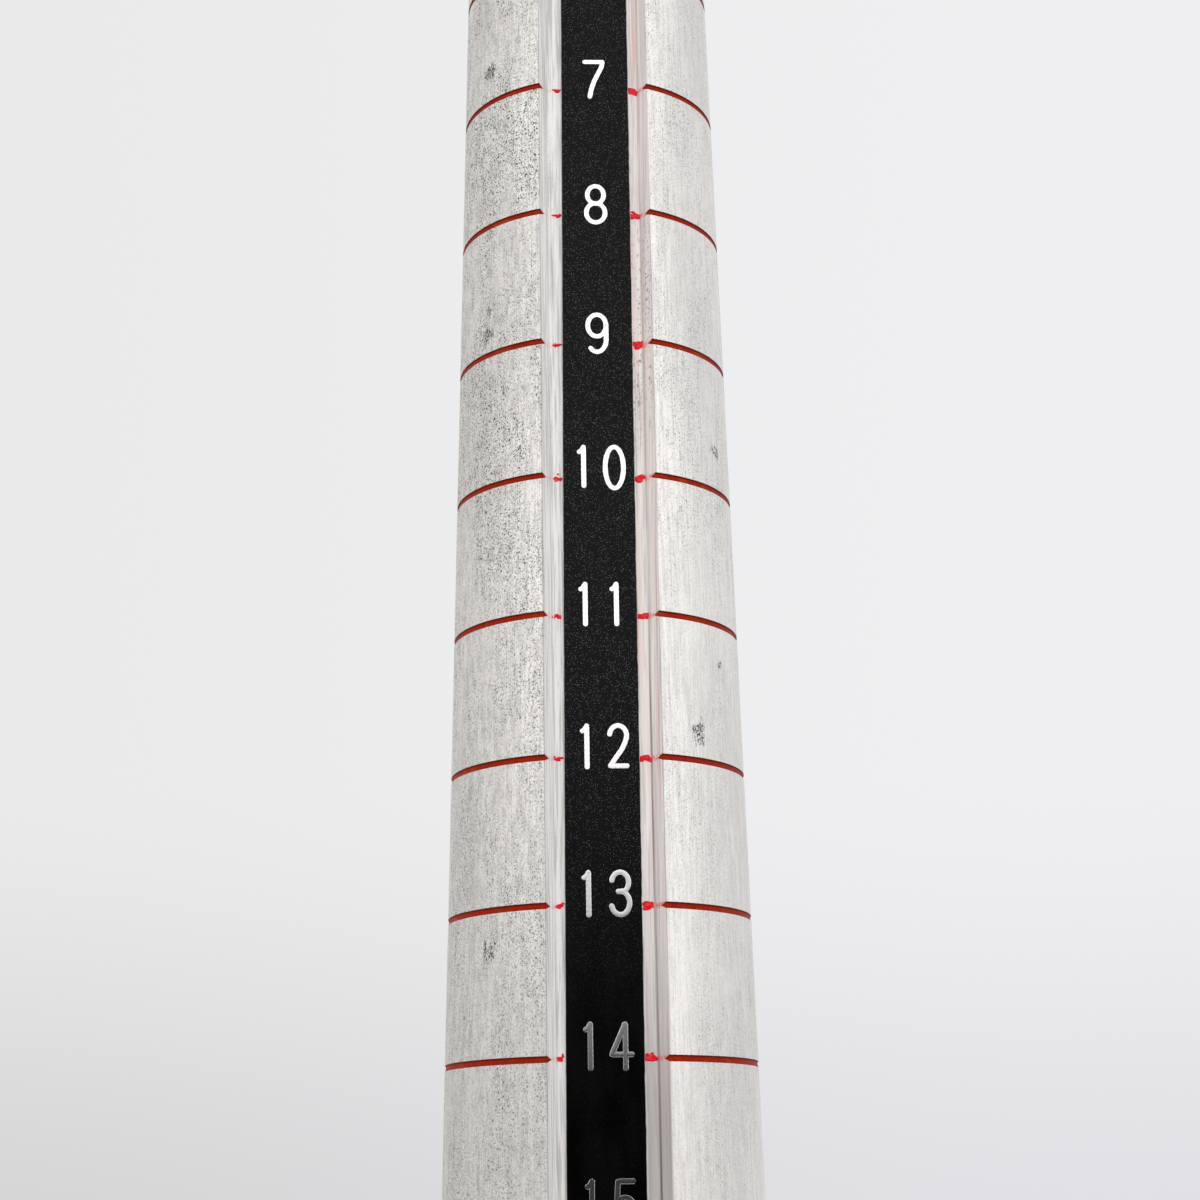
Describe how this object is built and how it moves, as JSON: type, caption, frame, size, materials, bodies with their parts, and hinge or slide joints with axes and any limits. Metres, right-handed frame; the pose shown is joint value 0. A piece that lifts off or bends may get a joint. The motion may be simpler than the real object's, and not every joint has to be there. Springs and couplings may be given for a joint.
{
  "type": "ring mandrel",
  "caption": "Tapered ring sizing mandrel with a slotted face, an inlaid black number strip, red size lines and a round handle with a flat butt.",
  "frame": {"origin": "centre of the flat butt face, on the axis of the taper", "axes": "+Z along the axis from the handle to the small end, -Y out of the slot and number strip, +X to the right of the numerals"},
  "size_m": [0.0264, 0.0264, 0.35],
  "materials": {
    "rod_aluminium": "satin drawn and turned aluminium with fine lengthwise streaks and small pits",
    "red_scale_paint": "dull red filling paint in the turned lines",
    "black_anodised_strip": "matte black anodised aluminium strip, lightly speckled",
    "clear_adhesive": "thin transfer adhesive film",
    "white_numeral_ink": "white numerals on the black strip",
    "collar_aluminium": "fine turned aluminium",
    "black_handle_plastic": "moulded black plastic with a light grain",
    "zinc_steel": "zinc plated steel",
    "black_plug_plastic": "moulded black plastic"
  },
  "bodies": {
    "root": {"mandrel_rod": "rod_aluminium", "scale_line_paint": "red_scale_paint", "number_strip": "black_anodised_strip", "strip_adhesive": "clear_adhesive", "size_numerals": "white_numeral_ink", "handle_collar": "collar_aluminium", "handle_grip": "black_handle_plastic", "handle_screw": "zinc_steel", "spring_washer": "zinc_steel", "plain_washer": "zinc_steel", "butt_plug": "black_plug_plastic"}
  },
  "joints": []
}
